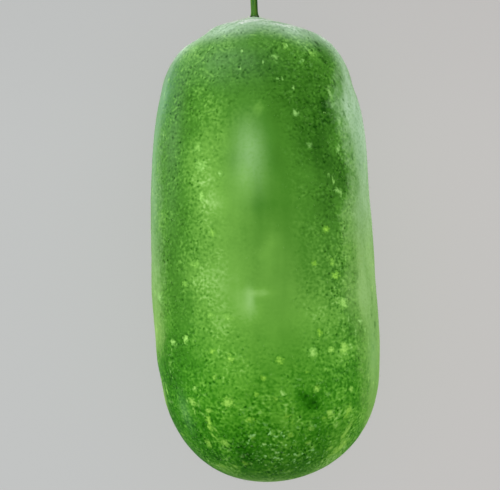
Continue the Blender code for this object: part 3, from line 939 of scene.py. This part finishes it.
def add_needle(vertices, faces, root, direction, length, radius, bend):
    """A three-sided needle with a bend halfway, rooted just under the skin."""
    side = direction.orthogonal().normalized()
    other = direction.cross(side)
    middle = root + direction * (0.55 * length) + bend * 0.25
    tip = root + direction * length + bend
    start = len(vertices)
    for centre, reach in ((root - direction * HAIR_DEPTH, radius), (middle, 0.75 * radius)):
        for corner in range(3):
            turn = 2.0 * math.pi * corner / 3.0
            vertices.append(centre + (side * math.cos(turn) + other * math.sin(turn)) * reach)
    vertices.append(tip)
    faces.append((start + 2, start + 1, start))
    for corner in range(3):
        after = (corner + 1) % 3
        faces.append((start + corner, start + after, start + 3 + after, start + 3 + corner))
        faces.append((start + 3 + corner, start + 3 + after, start + 6))


def plain_share(station, angle):
    """Share of the hairs that are left on plain skin."""
    net = 1.0 + soft_patches(np.array([station]), np.array([angle]), NET_PATCHES)[0]
    return min(max(net, FEWEST_HAIRS), 1.0)


def make_hairs():
    """Short hairs all over the skin, denser at the two ends."""
    chance = random.Random(HAIR_SEED)
    stations = []
    angles = []
    while len(stations) < HAIR_COUNT:
        station = chance.uniform(0.0, FRUIT_LENGTH)
        ends = math.exp(-(station / 0.06) ** 2) + 0.4 * math.exp(-((FRUIT_LENGTH - station) / 0.10) ** 2)
        if chance.random() < 0.45 + 0.55 * ends:
            stations.append(station)
            angles.append(chance.uniform(0.0, 360.0))
    walked = walked_at(np.array(stations))
    angle = np.array(angles)
    roots = skin_points(walked, angle)
    normals = skin_normals(walked, angle)
    vertices = []
    faces = []
    for root, normal, root_station, root_angle in zip(roots, normals, stations, angles):
        if root[2] < LOWEST_HAIR or chance.random() > plain_share(root_station, root_angle):
            continue
        direction = Vector(normal)
        lean = Vector((chance.uniform(-1, 1), chance.uniform(-1, 1) - 0.5, chance.uniform(-1, 1)))
        direction = (direction + HAIR_LEAN * lean).normalized()
        length = chance.uniform(*HAIR_LENGTH)
        bend = Vector((chance.uniform(-1, 1), chance.uniform(-1, 1), -0.6)) * HAIR_BEND * length
        add_needle(vertices, faces, Vector(root), direction, length, HAIR_RADIUS, bend)
    hairs = new_piece("skin_hairs", [tuple(vertex) for vertex in vertices], faces, hair_material())
    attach(hairs, "root")
    return hairs


# Stem

def stem_material():
    """Ridged green stalk, paler on its ridges, with painted shade at its dark foot and a corky cut end."""
    graph = Graph("stem_green")
    place = graph.place()
    fibre = graph.noise(graph.place((1.0, 0.08, 1.0)), 0.0012, 3.0, 0.6)
    stalk = graph.mix(graph.rise(fibre, 0.35, 0.65), tint(26, 80, 8), tint(62, 110, 20))
    stalk = graph.mix(graph.times(graph.attribute("ridge"), 0.5), stalk, tint(94, 128, 36))
    # Dark foot: painted shade where the stalk meets the fruit.
    stalk = graph.mix(graph.attribute("foot"), stalk, tint(12, 44, 14))
    ring = graph.noise(place, 0.0011, 2.0)
    pith = graph.mix(graph.rise(ring, 0.35, 0.65), tint(150, 148, 92), tint(206, 204, 156))
    stalk = graph.mix(graph.attribute("cut"), stalk, pith)
    graph.feed(graph.shader.inputs["Base Color"], stalk)
    graph.feed(graph.shader.inputs["Roughness"], graph.rise(fibre, 0.3, 0.7, 0.45, 0.65))
    graph.feed(graph.shader.inputs["Normal"], graph.bump(fibre, 0.00012, 0.6))
    graph.shader.inputs["Specular IOR Level"].default_value = 0.12
    return graph.material


def stem_ring(ring):
    """Middle and radius of one ring of the stem, its share of the length, and whether it is in the cut."""
    share = min(ring / (STEM_RINGS - 1), 1.0)
    in_cut = ring >= STEM_RINGS
    shrink = 1.0 - (ring - STEM_RINGS + 1) / STEM_END_RINGS * 0.96 if in_cut else 1.0
    flare = (STEM_FOOT_RADIUS - STEM_RADIUS) * math.exp(-(share / STEM_FOOT_SHARE) ** 2)
    radius = (STEM_RADIUS + flare + STEM_WIDENING * STEM_RADIUS * share ** 3) * shrink
    x = CENTRELINE_X + STEM_OFFSET + STEM_LEAN * math.sin(0.5 * math.pi * share)
    y = BALANCE_STATION - STEM_SUNK + (STEM_LENGTH + STEM_OVERLENGTH) * share
    middle = (x, y - STEM_DISH * (1.0 - shrink) ** 2, AXIS_HEIGHT - STEM_SAG * share ** 2)
    return middle, radius, share, in_cut


def make_stem():
    """The cut stalk: rings of a ridged section from inside the fruit's cone to the cut end."""
    vertices = []
    marks = {"ridge": [], "foot": [], "cut": []}
    total = STEM_RINGS + STEM_END_RINGS
    for ring in range(total):
        (x, y, z), radius, share, in_cut = stem_ring(ring)
        for side in range(STEM_SIDES):
            turn = 2.0 * math.pi * side / STEM_SIDES
            crest = math.cos(STEM_RIDGES * turn)
            rough = noise.noise(Vector((3.0 * math.cos(turn), share * 9.0, 3.0 * math.sin(turn))))
            reach = radius * (1.0 + STEM_RIDGE_SHARE * crest + STEM_ROUGHNESS * rough)
            vertices.append((x + reach * math.cos(turn), y, z + reach * math.sin(turn)))
            marks["ridge"].append(0.0 if in_cut else max(crest, 0.0))
            marks["foot"].append(math.exp(-(share / 0.035) ** 2))
            marks["cut"].append(1.0 if in_cut else 0.0)
    faces = [face[::-1] for face in ring_faces(0, total, STEM_SIDES)]
    faces.append(tuple(range(STEM_SIDES)))
    faces.append(tuple((total - 1) * STEM_SIDES + side for side in reversed(range(STEM_SIDES))))
    stem = new_piece("stem_stalk", vertices, faces, stem_material())
    stem.data.shade_smooth()
    add_fields(stem.data, marks)
    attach(stem, "root")
    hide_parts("stem")
    return stem


# Camera, lights and floor

def make_camera():
    """Camera straight above the fruit, framed as the photograph is."""
    data = bpy.data.cameras.new("camera")
    camera = new_object("camera", data)
    x = CENTRELINE_X + (FRAME_WIDTH_PX / 2 - STEM_FOOT_PX[0]) * PIXEL
    y = BALANCE_STATION - (FRAME_HEIGHT_PX / 2 - STEM_FOOT_PX[1]) * PIXEL
    camera.location = (x, y, AXIS_HEIGHT + CAMERA_DISTANCE)
    data.sensor_fit = "HORIZONTAL"
    data.sensor_width = SENSOR_WIDTH
    data.lens = SENSOR_WIDTH * CAMERA_DISTANCE / (FRAME_WIDTH_PX * PIXEL)
    bpy.context.scene.camera = camera


def area_light(name, place, target, size, power):
    """A rectangular soft light aimed at a point."""
    data = bpy.data.lights.new(name, "AREA")
    data.shape = "RECTANGLE"
    data.size, data.size_y = size
    data.energy = power
    light = new_object(name, data)
    light.location = place
    aim = Vector(target) - Vector(place)
    light.rotation_euler = aim.to_track_quat("-Z", "Y").to_euler()
    return light


def make_lights(pieces):
    """A soft key from the upper left and two low side lights, on the gourd alone, and an even sky."""
    middle = (0.0, 0.02, 0.09)
    lights = (
        area_light("key", (-0.50, 0.55, 1.25), middle, (0.40, 0.40), 13.0),
        area_light("side_left", (-1.10, 0.10, 0.34), middle, (1.00, 0.30), 6.0),
        area_light("side_right", (1.10, 0.14, 0.34), middle, (1.00, 0.30), 8.0),
    )
    whole = bpy.data.collections.new("lit_whole")
    skin = bpy.data.collections.new("lit_skin")
    for piece in pieces:
        whole.objects.link(piece)
        if piece.name != "stem_stalk":
            skin.objects.link(piece)
    for light, receivers in zip(lights, (whole, whole, skin)):
        light.light_linking.receiver_collection = receivers
    world = bpy.data.worlds.new("studio")
    world.use_nodes = True
    background = world.node_tree.nodes["Background"]
    background.inputs["Color"].default_value = (0.95, 0.975, 1.0, 1.0)
    background.inputs["Strength"].default_value = 0.42
    bpy.context.scene.world = world
    bpy.context.scene.view_settings.view_transform = "Standard"


def make_floor():
    """Plain pale floor, which glows so that its shadows stay faint."""
    bpy.ops.mesh.primitive_plane_add(size=6.0, location=(0.0, 0.0, 0.0))
    floor = bpy.context.object
    floor.name = "floor"
    graph = Graph("floor")
    graph.shader.inputs["Base Color"].default_value = (0.22, 0.22, 0.22, 1.0)
    graph.shader.inputs["Roughness"].default_value = 0.9
    graph.shader.inputs["Specular IOR Level"].default_value = 0.05
    across = graph.node("ShaderNodeSeparateXYZ")
    graph.feed(across.inputs[0], graph.place())
    glow = graph.mix(graph.rise(across.outputs["X"], -0.20, 0.20),
                     (0.985, 1.0, 0.99, 1.0), (1.01, 0.975, 0.95, 1.0))
    graph.feed(graph.shader.inputs["Emission Color"], glow)
    graph.feed(graph.shader.inputs["Emission Strength"],
               graph.rise(across.outputs["Y"], 0.08, 0.24, 0.462, 0.440))
    floor.data.materials.append(graph.material)


make_camera()
make_floor()
make_lights((make_fruit(), make_hairs(), make_stem()))
